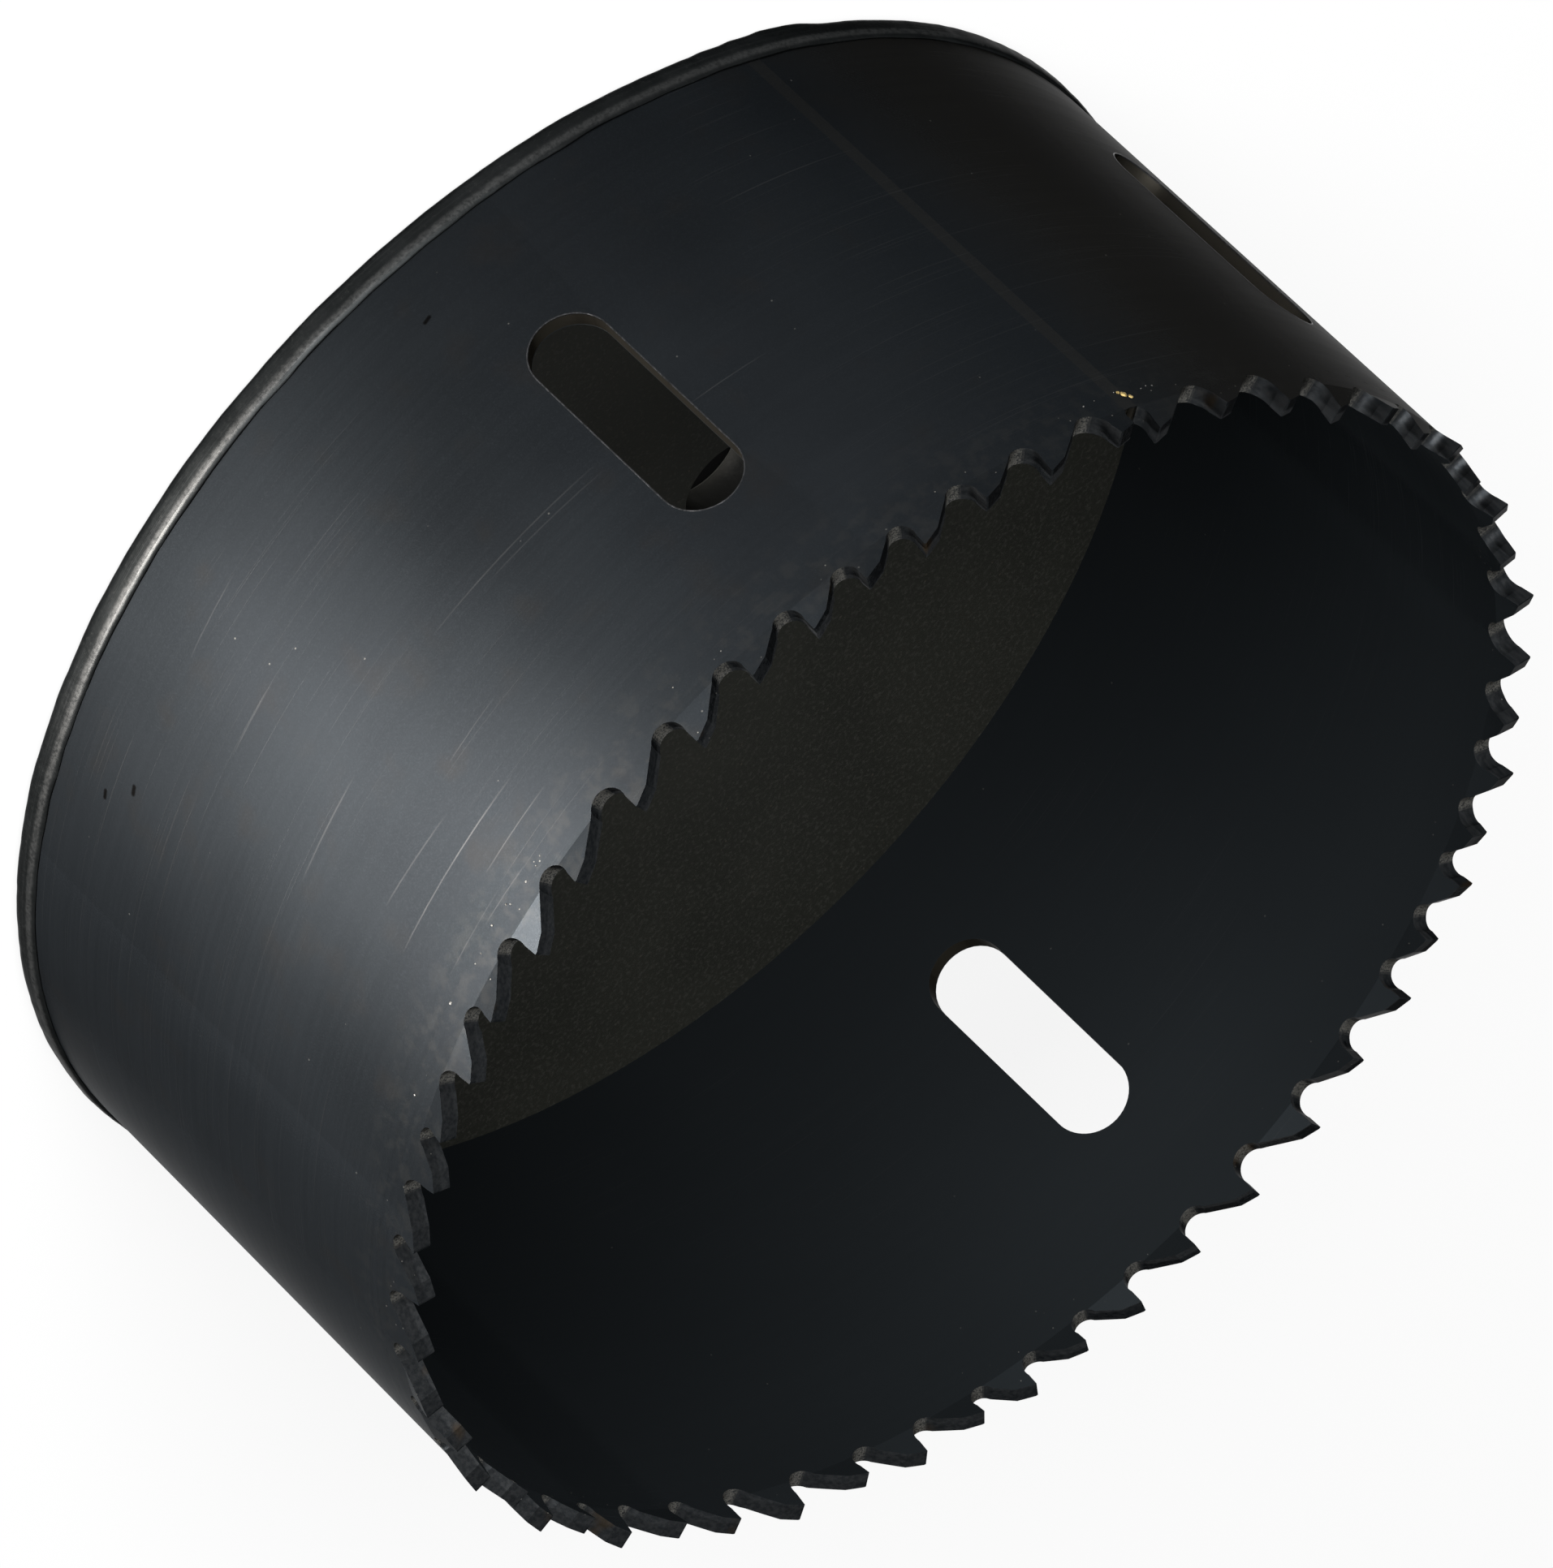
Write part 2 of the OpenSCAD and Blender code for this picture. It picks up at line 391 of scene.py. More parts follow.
class Finish(Graph):
    """Node tree of one material. Its colour is laid on coat by coat, and its patterns are placed in mm."""

    def __init__(self, name):
        self.material = bpy.data.materials.new(name)
        self.material.use_nodes = True
        super().__init__(self.material.node_tree)
        self.shader = self.nodes["Principled BSDF"]
        self.color = None
        place = self.new("ShaderNodeTexCoord").outputs["Object"]
        self.position = self.vector("MULTIPLY", place, (1 / MM, 1 / MM, 1 / MM))

    def flat_position(self):
        """Position in mm without its height."""
        return self.vector("MULTIPLY", self.position, (1.0, 1.0, 0.0))

    def coat(self, mask, color, share=None):
        """Lay a colour over the one below where the mask says, at most as thick as the share."""
        amount = mask if share is None else self.times(mask, share)
        self.color = self.mix(amount, self.color, color)

    def bump(self, height, strength, distance):
        node = self.new("ShaderNodeBump")
        self.link(height, node.inputs["Height"])
        node.inputs["Strength"].default_value = strength
        node.inputs["Distance"].default_value = distance * MM
        return node.outputs["Normal"]

    def done(self, rough, normal, metallic=0.0, gloss=SCALE_GLOSS, edge_tint=1.0):
        """Join everything to the shader."""
        self.link(self.color, self.shader.inputs["Base Color"])
        self.link(rough, self.shader.inputs["Roughness"])
        self.link(metallic, self.shader.inputs["Metallic"])
        self.link(gloss, self.shader.inputs["Specular IOR Level"])
        self.link((edge_tint, edge_tint, edge_tint), self.shader.inputs["Specular Tint"])
        self.link(normal, self.shader.inputs["Normal"])
        return self.material


def shade(color, factor):
    """A colour made darker or lighter."""
    return tuple(part * factor for part in color)


def unrolled(angle, height):
    """Place on the unrolled band that matches an angle and a height, with 0 at the seam."""
    turn = (angle - SEAM_ANGLE + 180.0) % 360.0 - 180.0
    return (math.radians(turn) * WALL_OUTER, height, 0.0)


class BluedSteel(Finish):
    """Blue-black oxide over rolled steel, which the band, its teeth and its seam share."""

    def __init__(self, name, rougher=0.0):
        super().__init__(name)
        self.z = self.height_of(self.position)
        self.radius = self.vector("LENGTH", self.flat_position())
        self.place = self.unrolled_place()
        self.cloud = self.noise(self.position, 0.045)
        self.patch = self.noise(self.position, 0.25)
        self.grain = self.noise(self.position, 9.0, rough=0.7)
        rolled = self.vector("MULTIPLY", self.position, ROLLING)
        streak = self.noise(rolled, 1.0, rough=0.6)
        hair = self.noise(self.vector("MULTIPLY", rolled, HAIRS), 1.0, rough=0.5)
        self.hairs = self.times(self.span(hair, 0.65, 0.70), self.span(self.cloud, 0.45, 0.6))
        rough = self.span(self.cloud, 0.3, 0.7, BAND_ROUGH[0] + rougher, BAND_ROUGH[1] + rougher)
        rough = self.plus(rough, self.span(streak, 0.3, 0.7, -0.010, 0.014))
        self.rough = self.minus(rough, self.times(self.hairs, 0.08))
        relief = self.plus(self.times(self.grain, 0.6), self.times(streak, 0.25))
        self.relief = self.minus(relief, self.times(self.hairs, 0.5))
        self.metallic = None

    def unrolled_place(self):
        """Length round the band from the seam, and height, as a flat vector."""
        turn = math.radians(SEAM_ANGLE)
        across = self.vector("DOT_PRODUCT", self.position, (-math.sin(turn), math.cos(turn), 0.0))
        ahead = self.vector("DOT_PRODUCT", self.position, (math.cos(turn), math.sin(turn), 0.0))
        angle = self.math("ARCTAN2", across, ahead)
        return self.join(self.times(angle, WALL_OUTER), self.z, 0.0)

    def line(self, start, end, width, fade=False):
        """Soft mask of a straight mark on the unrolled band, which fades towards its ends on request."""
        along = Vector(end) - Vector(start)
        offset = self.vector("SUBTRACT", self.place, start)
        share = self.vector("DOT_PRODUCT", offset, tuple(along / along.length_squared))
        share = self.math("MAXIMUM", self.math("MINIMUM", share, 1.0), 0.0)
        nearest = self.new("ShaderNodeVectorMath", operation="SCALE")
        nearest.inputs[0].default_value = along
        self.link(share, nearest.inputs["Scale"])
        distance = self.vector("LENGTH", self.vector("SUBTRACT", offset, nearest.outputs["Vector"]))
        mask = self.below(distance, width * 0.3, width)
        if fade:
            ends = self.times(share, self.minus(1.0, share))
            mask = self.times(mask, self.math("MULTIPLY", ends, 5.0, clamp=True))
        return mask

    def lay_oxide(self, tint):
        """Cloudy oxide: brown patches, paler past the seam and at the worn rim, painted shade low down."""
        self.color = self.mix(self.span(self.cloud, 0.35, 0.65), shade(tint, 0.9), shade(tint, 1.12))
        self.coat(self.span(self.patch, 0.55, 0.75), BROWN_OXIDE, 0.2)
        round_band = self.vector("DOT_PRODUCT", self.place, (1.0, 0.0, 0.0))
        self.coat(self.below(round_band, *SEAM_FADE), OXIDE_PAST_SEAM)
        self.coat(self.span(self.grain, 0.45, 0.75), shade(tint, 1.9), 0.3)
        # Painted shade: the colour darkens towards the foot of the band
        self.coat(self.span(self.z, *PAINTED_FOOT_SHADE, 0.0), PAINTED_SHADE_BLACK)
        rubbed = self.span(self.noise(self.position, 0.9, rough=0.65), 0.46, 0.66)
        self.coat(self.times(self.span(self.z, *RIM_WEAR), rubbed), WORN_RIM, 0.22)

    def lay_slot_walls(self):
        """Duller, warmer steel on the punched walls of the slots."""
        self.coat(self.below(self.radius, WALL_OUTER - SLOT_EDGE[0], WALL_OUTER - SLOT_EDGE[1]), SLOT_WALL)

    def lay_inner_wall(self, low, high):
        """Duller, bluer steel inside the cup, which fades between two distances outside the inner wall."""
        inside = self.below(self.radius, WALL_INNER + low, WALL_INNER + high)
        self.coat(inside, INNER_WALL)
        self.rough = self.plus(self.rough, self.times(inside, 0.15))
        self.metallic = self.span(inside, 0.0, 1.0, 0.95, 0.7, smooth=False)

    def lay_hairs_and_dust(self):
        """Hair scratches along the rolling grain, and specks of dust."""
        self.coat(self.hairs, HAIR_SCRATCH, 0.22)
        speck = self.below(self.cell_distance(self.position, 0.42), 0.02, 0.035)
        self.coat(speck, DUST, 0.35)

    def lay_marks(self):
        """Long scratches and dark nicks, each at its own place on the band."""
        broken = self.span(self.patch, 0.35, 0.6, 0.6, 1.0)
        for start_angle, start_height, end_angle, end_height, width, strength in SCRATCHES:
            start = unrolled(start_angle, start_height)
            end = unrolled(end_angle, end_height)
            self.coat(self.times(self.line(start, end, width, fade=True), broken), LONG_SCRATCH, strength)
        for angle, height, size in NICKS:
            start = unrolled(angle, height)
            end = (start[0] + NICK_RUN, start[1] + NICK_RISE, 0.0)
            self.coat(self.line(start, end, size), NICK)

    def lay_cut_faces(self):
        """Ground faces of the teeth, stained in patches and bare on the gullet floors."""
        normal = self.new("ShaderNodeNewGeometry").outputs["True Normal"]
        outward = self.vector("NORMALIZE", self.flat_position())
        facing = self.math("ABSOLUTE", self.vector("DOT_PRODUCT", normal, outward))
        cut = self.below(facing, 0.45, 0.75)
        land = TOOTH_TOP - RELIEF_DROP
        gullet = self.times(cut, self.span(self.height_of(normal), 0.80, 0.97))
        gullet = self.times(gullet, self.below(self.z, land - 0.5, land - 0.3))
        grind = self.noise(self.vector("MULTIPLY", self.position, GRINDING), 2.4, rough=0.6)
        face = self.mix(self.span(grind, 0.3, 0.7), GROUND_DARK, GROUND_LIGHT)
        face = self.mix(self.times(self.span(self.patch, 0.62, 0.72), 0.6), face, STAIN)
        face = self.mix(self.times(gullet, self.span(self.grain, 0.35, 0.6)), face, BARE_GULLET)
        self.coat(cut, face)
        self.rough = self.minus(self.rough, self.times(cut, 0.06))
        self.relief = self.plus(self.relief, self.times(grind, cut, 0.8))

    def lay_grit(self):
        """Pale loose grit, in patches."""
        grit = self.below(self.cell_distance(self.position, 1.3), 0.04, 0.08)
        patches = self.span(self.noise(self.position, 0.5, detail=1.0), 0.5, 0.58)
        self.coat(self.times(grit, patches), GRIT, 0.6)

    def finished(self):
        """Join everything to the shader, with the fine relief of rolled steel."""
        normal = self.bump(self.relief, 0.25, 0.02)
        return self.done(self.rough, normal, self.metallic, edge_tint=BAND_EDGE_TINT)


def band_finish():
    """The band's wall, with its slots, scratches and nicks."""
    steel = BluedSteel("blued_band_finish")
    steel.lay_oxide(BAND_OXIDE)
    steel.lay_slot_walls()
    steel.lay_inner_wall(*WALL_EDGE)
    steel.lay_hairs_and_dust()
    steel.lay_marks()
    return steel.finished()


def tooth_finish():
    """The tooth strip: oxide outside and inside, ground steel on the cut faces, and loose grit."""
    steel = BluedSteel("tooth_steel_finish")
    steel.lay_oxide(BAND_OXIDE)
    steel.lay_inner_wall(*TOOTH_EDGE)
    steel.lay_hairs_and_dust()
    steel.lay_cut_faces()
    steel.lay_grit()
    return steel.finished()


def seam_finish():
    """The seam's weld, a little paler and rougher than the band."""
    steel = BluedSteel("seam_steel_finish", SEAM_ROUGHER)
    steel.lay_oxide(SEAM_OXIDE)
    steel.lay_slot_walls()
    steel.lay_inner_wall(*WALL_EDGE)
    steel.lay_hairs_and_dust()
    return steel.finished()


def plate_finish():
    """Matt, olive-black scale with small grains and grit, with painted shade on the walls of the holes."""
    scale = Finish("plate_steel_finish")
    cloud = scale.noise(scale.position, 0.08)
    grain = scale.noise(scale.position, 3.2, detail=4.0, rough=0.7)
    grit = scale.cell_distance(scale.position, 0.8)
    scale.color = scale.mix(scale.span(cloud, 0.35, 0.65), PLATE_DARK, PLATE_LIGHT)
    scale.coat(scale.span(grain, 0.48, 0.68), PLATE_GRAIN, 0.6)
    scale.coat(scale.span(grit, 0.04, 0.09, 0.5, 0.0), PLATE_GRIT)
    height = scale.height_of(scale.position)
    low, high = PLATE_THICKNESS - HOLE_SHADE[0], PLATE_THICKNESS - HOLE_SHADE[1]
    # Painted shade: near black on all below the plate's upper face, which is mostly the walls of its holes
    scale.coat(scale.span(height, low, high, 0.85, 0.0), PAINTED_HOLE_SHADE)
    relief = scale.plus(grain, scale.span(grit, 0.05, 0.2, 0.5, 0.0))
    return scale.done(scale.span(grain, 0.3, 0.7, 0.50, 0.66), scale.bump(relief, 0.35, 0.05))


def bead_finish():
    """Smooth brown-black scale, rubbed in streaks along the rim; painted highlight on the rolled toe."""
    scale = Finish("bead_steel_finish")
    cloud = scale.noise(scale.position, 0.35)
    grain = scale.noise(scale.position, 4.0, detail=4.0, rough=0.7)
    streak = scale.noise(scale.vector("MULTIPLY", scale.position, RUBBING), 1.0, rough=0.6)
    scale.color = scale.mix(scale.span(cloud, 0.35, 0.65), BEAD_DARK, BEAD_LIGHT)
    scale.coat(scale.span(streak, 0.5, 0.72), BEAD_RUBBED, 0.35)
    height = scale.height_of(scale.position)
    # Painted highlight: a pale stripe just under the bead's top, on its rolled toe
    above = scale.span(height, BEAD_HEIGHT - PAINTED_HIGHLIGHT_START[0], BEAD_HEIGHT - PAINTED_HIGHLIGHT_START[1])
    under = scale.below(height, BEAD_HEIGHT - PAINTED_HIGHLIGHT_END[0], BEAD_HEIGHT - PAINTED_HIGHLIGHT_END[1])
    painted_highlight = scale.times(above, under, scale.span(grain, 0.3, 0.6, 0.35, 1.0))
    scale.coat(painted_highlight, BEAD_PAINTED_HIGHLIGHT, 0.48)
    scale.coat(scale.span(grain, 0.58, 0.72), BEAD_GRAIN, 0.2)
    relief = scale.plus(scale.times(grain, 0.6), scale.plus(cloud, streak))
    rough = scale.span(grain, 0.3, 0.7, 0.34, 0.42)
    return scale.done(rough, scale.bump(relief, 0.3, 0.05), metallic=0.95, edge_tint=BEAD_EDGE_TINT)


def torn_finish(name, tint):
    """Small torn or melted metal with grain of its own."""
    metal = Finish(name)
    grain = metal.noise(metal.position, 3.0, detail=5.0, rough=0.7)
    metal.color = metal.mix(metal.span(grain, 0.3, 0.7), shade(tint, 0.35), tint)
    rough = metal.span(grain, 0.3, 0.7, 0.3, 0.5)
    return metal.done(rough, metal.bump(grain, 0.6, 0.08), metallic=0.8, gloss=TORN_GLOSS)


def use(obj, material):
    """Give an object one material in all of its slots."""
    if not obj.data.materials:
        obj.data.materials.append(material)
    for index in range(len(obj.data.materials)):
        obj.data.materials[index] = material


def piece(name, bm, material, smooth_angle):
    """Turn a bmesh into a piece of the object with its finish."""
    bmesh.ops.recalc_face_normals(bm, faces=bm.faces)
    mesh = bpy.data.meshes.new(name)
    bm.to_mesh(mesh)
    bm.free()
    mesh.shade_smooth()
    mesh.set_sharp_from_angle(angle=math.radians(smooth_angle))
    obj = bpy.data.objects.new(name, mesh)
    bpy.context.scene.collection.objects.link(obj)
    use(obj, material)
    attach(obj, "root")
    return obj


def circle_point(angle, radius, height):
    """Point in metres at an angle, a radius and a height."""
    turn = math.radians(angle)
    return Vector((radius * math.cos(turn), radius * math.sin(turn), height)) * MM


def ring(bm, count, radius, height, middle=(0.0, 0.0)):
    """Points round a circle; the radius may be a number or a function of the angle."""
    points = []
    for i in range(count):
        angle = 360.0 * i / count
        reach = radius(angle) if callable(radius) else radius
        spot = circle_point(angle, reach, height)
        points.append(bm.verts.new(spot + Vector((*middle, 0.0)) * MM))
    return points


def join_rings(bm, lower, upper):
    """Faces between two closed rows with the same number of points."""
    count = len(lower)
    for i in range(count):
        j = (i + 1) % count
        bm.faces.new((lower[i], lower[j], upper[j], upper[i]))


def join_round(bm, rows):
    """Faces from each closed row to the next, and from the last back to the first."""
    for i, row in enumerate(rows):
        join_rings(bm, row, rows[(i + 1) % len(rows)])


def smooth_step(value, low, high):
    """0 below low, 1 above high, and an even curve between."""
    share = min(max((value - low) / (high - low), 0.0), 1.0)
    return share * share * (3.0 - 2.0 * share)


def lump_share(angle):
    """How far the bead swells where its ends overlap, from 0 to 1: it rises once and falls in steps."""
    left = 1.0
    for start, end, share in LUMP_FALLS:
        left -= share * smooth_step(angle, start, end)
    return smooth_step(angle, *LUMP_RISE) * max(left, 0.0)


def uneven(place, scale, size, shift=(0.0, 0.0, 0.0)):
    """Gentle unevenness at a place: how often it swings per mm, how far, and a shift of the pattern."""
    return noise.noise(place * scale + Vector(shift)) * size


def bead_profile(angle):
    """The bead's section as radius and height: foot, rounded corner, toe, and the back in the joint."""
    turn = math.radians(angle)
    place = Vector((math.cos(turn), math.sin(turn), 0.0)) * WALL_OUTER
    lump = lump_share(angle)
    wave = uneven(place, *LONG_WAVE) + uneven(place, *SHORT_WAVE)
    proud = BEAD_PROUD - SIDE_SINK + LUMP_PROUD * lump + wave
    corner = BEAD_CORNER * (1.0 - LUMP_SHARPENS * lump) + uneven(place, *CORNER_WAVE, (9.0, 0.0, 0.0))
    edge = BEAD_HEIGHT + uneven(place, *EDGE_WAVE, (0.0, 5.0, 0.0)) - EDGE_SINK
    middle = WALL_OUTER + proud - corner
    profile = [(WALL_INNER - WELD_LEG, 0.0)]
    for step in range(CORNER_STEPS + 1):
        turn = math.radians(-90.0 + 90.0 * step / CORNER_STEPS)
        profile.append((middle + corner * math.cos(turn), corner + corner * math.sin(turn)))
    for step in range(TOE_STEPS):
        turn = math.radians(90.0 * step / TOE_STEPS)
        profile.append((WALL_OUTER + proud * math.cos(turn), edge - TOE_LENGTH * (1.0 - math.sin(turn))))
    profile.append((WALL_OUTER - TOE_TUCK, edge - TOE_TUCK))
    profile.append((WALL_OUTER, WELD_LEG))
    profile.append((WALL_INNER, WELD_LEG))
    return profile


def bead_piece():
    """Weld bead round the rim of the plate, wavy, with a lump where its ends overlap."""
    bm = bmesh.new()
    rows = []
    for i in range(BEAD_POINTS):
        angle = 360.0 * i / BEAD_POINTS
        rows.append([bm.verts.new(circle_point(angle, r, h)) for r, h in bead_profile(angle)])
    join_round(bm, rows)
    return piece("rim_bead", bm, bead_finish(), smooth_angle=40.0)


def thread_radius(angle, height):
    """Radius of the arbor hole at a place on its thread, which runs out into both chamfers."""
    turn = height / THREAD_PITCH - angle / 360.0
    flank = 1.0 - abs(2.0 * (turn % 1.0) - 1.0)
    depth = THREAD_DEPTH * min(max(flank * FLANK_STRETCH - CREST_FLAT, 0.0), 1.0)
    mouth = min(height, PLATE_THICKNESS - height)
    chamfer = max(0.0, ARBOR_CHAMFER - mouth)
    return ARBOR_BORE + min(max(depth, chamfer), THREAD_DEPTH)


def plate_rim(bm):
    """Rings of the plate's edge, cut back at the foot where the bead sits."""
    return [
        ring(bm, PLATE_POINTS, WALL_INNER - WELD_LEG, 0.0),
        ring(bm, PLATE_POINTS, WALL_INNER, WELD_LEG),
        ring(bm, PLATE_POINTS, WALL_INNER, PLATE_THICKNESS),
    ]


def pin_hole(bm, angle):
    """Rings of a drive-pin hole with a bevel at both mouths."""
    turn = math.radians(angle)
    middle = (PIN_CIRCLE * math.cos(turn), PIN_CIRCLE * math.sin(turn))
    top = PLATE_THICKNESS
    levels = ((PIN_BEVEL, 0.0), (0.0, PIN_BEVEL), (0.0, top - PIN_BEVEL), (PIN_BEVEL, top))
    return [ring(bm, PIN_POINTS, PIN_HOLE + wider, height, middle) for wider, height in levels]


def arbor_hole(bm):
    """Rings of the threaded arbor hole."""
    rings = []
    for level in range(BORE_LEVELS + 1):
        height = PLATE_THICKNESS * level / BORE_LEVELS
        rings.append(ring(bm, BORE_POINTS, lambda angle: thread_radius(angle, height), height))
    return rings


def plate_piece():
    """End plate with its threaded arbor hole and its drive-pin holes."""
    bm = bmesh.new()
    walls = [plate_rim(bm)]
    for k in range(PIN_COUNT):
        walls.append(pin_hole(bm, PIN_ANGLE + 360.0 * k / PIN_COUNT))
    walls.append(arbor_hole(bm))
    for rings in walls:
        for lower, upper in zip(rings, rings[1:]):
            join_rings(bm, lower, upper)
    # The flat faces, between the first rings and between the last ones
    for end in (0, -1):
        edges = []
        for rings in walls:
            points = rings[end]
            for i, point in enumerate(points):
                edges.append(bm.edges.get((point, points[(i + 1) % len(points)])))
        bmesh.ops.triangle_fill(bm, use_beauty=True, edges=edges)
    return piece("drive_plate", bm, plate_finish(), smooth_angle=30.0)


def slot_outline():
    """Points round a slot: the direction that its edge faces, and the height of that end's centre."""
    straight = (SLOT_LENGTH - SLOT_WIDTH) / 2
    outline = []
    for end, first_turn in ((straight, 0.0), (-straight, 180.0)):
        for i in range(LIP_STEPS + 1):
            turn = math.radians(180.0 * i / LIP_STEPS + first_turn)
            outline.append((math.cos(turn), math.sin(turn), end))
    return outline


def slot_lip(index, angle, material):
    """Fine raised lip that punching leaves round a slot's outer edge."""
    bm = bmesh.new()
    rows = []
    for step, (aside, upward, end) in enumerate(slot_outline()):
        rough = LIP_ROUGH * noise.noise(Vector((step * 0.7, index * 3.0, 0.0)))
        crest = (LIP_CREST[0], LIP_CREST[1] + rough)
        row = []
        for spread, rise in (LIP_FOOT, LIP_INNER, crest, LIP_OUTER):
            reach = SLOT_WIDTH / 2 + spread
            swing = math.degrees(math.asin(reach * aside / WALL_OUTER))
            height = SLOT_MIDDLE + (end + reach * upward)
            row.append(bm.verts.new(circle_point(angle + swing, WALL_OUTER + rise, height)))
        rows.append(row)
    join_round(bm, rows)
    return piece(f"slot_lip_{index}", bm, material, smooth_angle=60.0)


def grain_piece(name, places, material, seed):
    """Irregular crumbs of metal: places holds each one's angle, radius, height and size."""
    random.seed(seed)
    bm = bmesh.new()
    for angle, radius, height, size in places:
        start = len(bm.verts)
        spot = circle_point(angle, radius, height)
        bmesh.ops.create_icosphere(bm, subdivisions=2, radius=size * MM)
        bm.verts.ensure_lookup_table()
        stretch = Vector([random.uniform(least, most) for least, most in GRAIN_STRETCH])
        shift = Vector([random.uniform(-GRAIN_SHIFT, GRAIN_SHIFT) for _ in range(2)]).to_3d()
        for vert in list(bm.verts)[start:]:
            swing = noise.noise(vert.co * (GRAIN_SWING / (size * MM)) + shift)
            vert.co = vert.co * (1.0 + GRAIN_UNEVEN * swing) * stretch + spot
    return piece(name, bm, material, smooth_angle=50.0)


def crumb_places():
    """Places of the crumbs of spatter by the seam."""
    angle, height = SPATTER
    return [(angle + turn, WALL_OUTER - depth, height + rise, size) for turn, rise, depth, size in CRUMBS]


def flake_places():
    """Places of the torn flakes, drawn at random in the stretches of the rim that keep them."""
    draw = random.Random(SEED + 2)
    places = []
    for first, last, count in FLAKE_STRETCHES:
        for _ in range(count):
            height = draw.uniform(FLAKE_LOW, FLAKE_HIGH)
            angle = draw.uniform(first, last)
            size = draw.uniform(FLAKE_SMALL, FLAKE_LARGE)
            places.append((angle, WALL_OUTER - FLAKE_DEPTH, height, size))
    return places


def floor_finish():
    """Pale floor that keeps the object's shadow, near white where seen, with painted shadow under it."""
    pale = Finish("floor_finish")
    radius = pale.vector("LENGTH", pale.flat_position())
    # Painted shadow: dark colour under the object, where the floor's own white fades out too
    clear_of_painted_shadow = pale.span(radius, WALL_INNER - PAINTED_SHADOW_FADE, WALL_INNER)
    pale.link(pale.mix(clear_of_painted_shadow, FLOOR_PAINTED_SHADOW, FLOOR_PALE), pale.shader.inputs["Base Color"])
    pale.link(1.0, pale.shader.inputs["Roughness"])
    pale.link(0.0, pale.shader.inputs["Specular IOR Level"])
    white = pale.new("ShaderNodeEmission")
    white.inputs["Strength"].default_value = 1.0
    blend = pale.new("ShaderNodeMixShader")
    pale.link(pale.times(pale.seen_ray(), FLOOR_WHITE, clear_of_painted_shadow), blend.inputs["Fac"])
    pale.link(pale.shader.outputs[0], blend.inputs[1])
    pale.link(white.outputs[0], blend.inputs[2])
    pale.link(blend.outputs[0], pale.nodes["Material Output"].inputs["Surface"])
    pale.material.cycles.emission_sampling = "NONE"
    return pale.material


def add_floor():
    """Wide flat floor just under the object."""
    mesh = bpy.data.meshes.new("floor")
    signs = ((-1, -1), (1, -1), (1, 1), (-1, 1))
    corners = [(x * FLOOR_HALF, y * FLOOR_HALF, FLOOR_HEIGHT) for x, y in signs]
    mesh.from_pydata(corners, [], [(0, 1, 2, 3)])
    obj = bpy.data.objects.new("floor", mesh)
    bpy.context.scene.collection.objects.link(obj)
    use(obj, floor_finish())
    return obj


def add_world():
    """White world, dimmer as a light on the object than where it is seen."""
    world = bpy.data.worlds.new("studio")
    bpy.context.scene.world = world
    world.use_nodes = True
    studio = Graph(world.node_tree)
    background = studio.nodes["Background"]
    studio.link((1.0, 1.0, 1.0), background.inputs["Color"])
    strength = studio.span(studio.seen_ray(), 0.0, 1.0, WORLD_LIGHT, 1.0, smooth=False)
    studio.link(strength, background.inputs["Strength"])


def area_light(name, azimuth, elevation, distance, size, power, target=OBJECT_MIDDLE, tint=(1.0, 1.0, 1.0)):
    """Soft box of a width and a height in metres, aimed at a point from a direction."""
    data = bpy.data.lights.new(name, "AREA")
    data.shape = "RECTANGLE"
    data.size, data.size_y = size
    data.energy = power
    data.color = tint
    obj = bpy.data.objects.new(name, data)
    bpy.context.scene.collection.objects.link(obj)
    turn, tilt = math.radians(azimuth), math.radians(elevation)
    away = Vector((math.cos(turn) * math.cos(tilt), math.sin(turn) * math.cos(tilt), math.sin(tilt)))
    obj.location = Vector(target) + away * distance
    obj.rotation_euler = away.to_track_quat("Z", "Y").to_euler()
    return obj


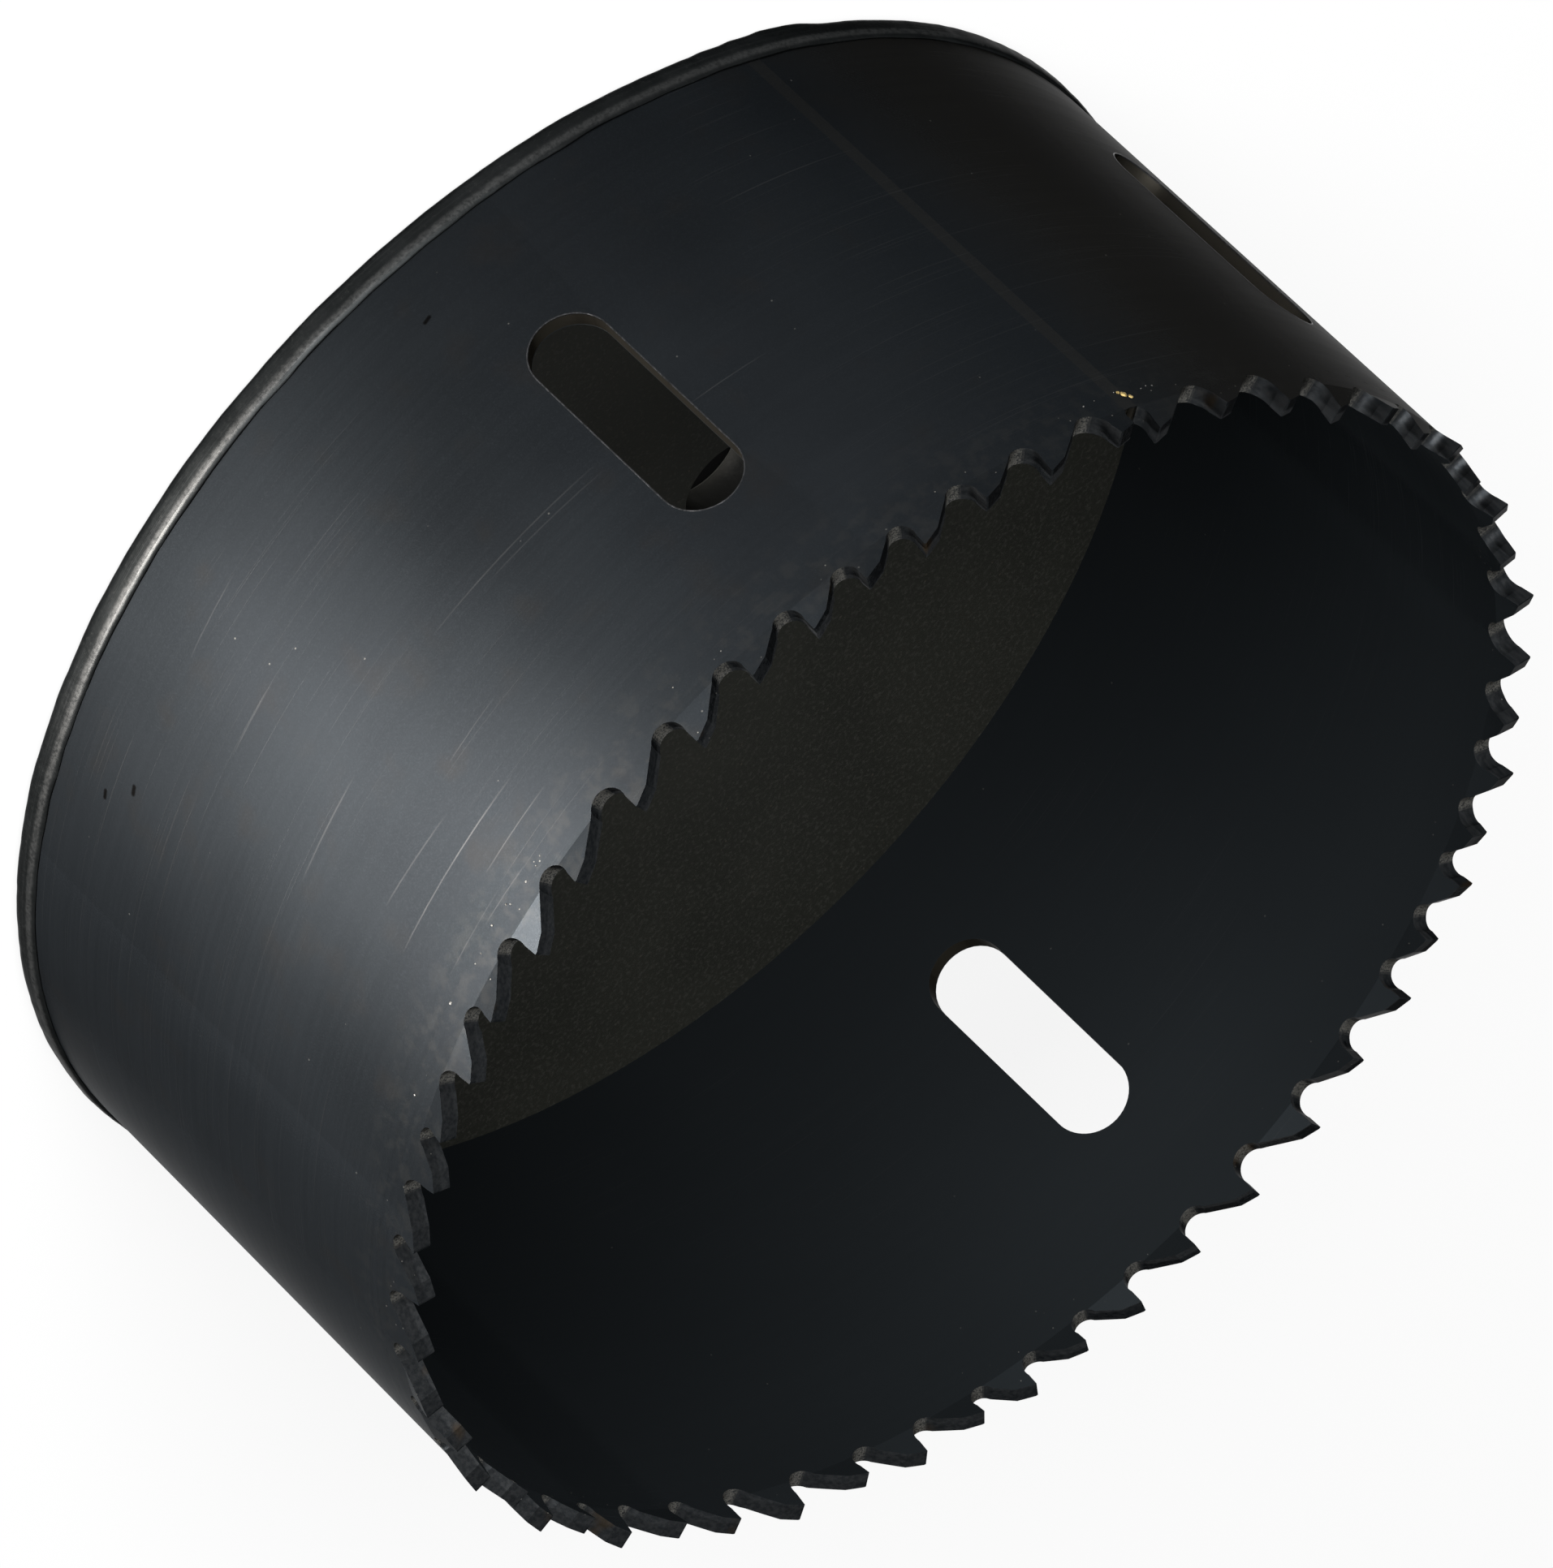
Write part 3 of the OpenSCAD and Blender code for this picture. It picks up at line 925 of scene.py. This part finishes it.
def light_object_alone(lamps, floor):
    """Keep lamps that stand lower than the floor off it, and let the floor cast no shadow from them."""
    lit = bpy.data.collections.new("lit_by_side_boxes")
    for obj in bpy.context.scene.objects:
        if obj.type == "MESH" and obj != floor:
            lit.objects.link(obj)
    for lamp in lamps:
        lamp.light_linking.receiver_collection = lit
        lamp.light_linking.blocker_collection = lit


def add_camera():
    """Camera at the photograph's viewing angle."""
    data = bpy.data.cameras.new("camera")
    data.lens = CAMERA_LENS
    data.sensor_width = SENSOR_WIDTH
    data.clip_start, data.clip_end = CLIP_START, CLIP_END
    camera = bpy.data.objects.new("camera", data)
    bpy.context.scene.collection.objects.link(camera)
    aim = (CAMERA_TARGET - CAMERA_PLACE).to_track_quat("-Z", "Y").to_matrix()
    camera.location = CAMERA_PLACE
    camera.rotation_euler = (aim @ Matrix.Rotation(math.radians(CAMERA_ROLL), 3, "Z")).to_euler()
    bpy.context.scene.camera = camera


# The object
use(nodes["cup_wall"], band_finish())
use(nodes["tooth_strip"], tooth_finish())
use(nodes["seam_weld"], seam_finish())
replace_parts(bead_piece(), "plate_weld")
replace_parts(plate_piece(), "end_plate")
lip_finish = torn_finish("slot_lip_finish", LIP_STEEL)
for index, angle in enumerate(SLOT_ANGLES):
    slot_lip(index, angle, lip_finish)
spatter_finish = torn_finish("seam_spatter_finish", SPATTER_GOLD)
grain_piece("seam_spatter", crumb_places(), spatter_finish, SEED)
flake_finish = torn_finish("tooth_flake_finish", FLAKE_STEEL)
grain_piece("tooth_flakes", flake_places(), flake_finish, SEED + 1)

# The stage: the side boxes light the front right of the cup from below the floor's level
floor = add_floor()
add_world()
area_light("front_softbox", azimuth=267, elevation=28, distance=1.0, size=(0.65, 0.8), power=23.0)
side_strip = area_light(
    "side_strip", azimuth=308, elevation=-32, distance=0.5, size=(1.0, 0.3), power=22.0, target=HIGHLIGHT)
side_spot = area_light(
    "side_spot", azimuth=313, elevation=-19, distance=0.12, size=(0.07, 0.06), power=1.5,
    target=HIGHLIGHT, tint=WARM_WHITE)
light_object_alone((side_strip, side_spot), floor)
add_camera()
bpy.context.scene.view_settings.view_transform = "Standard"
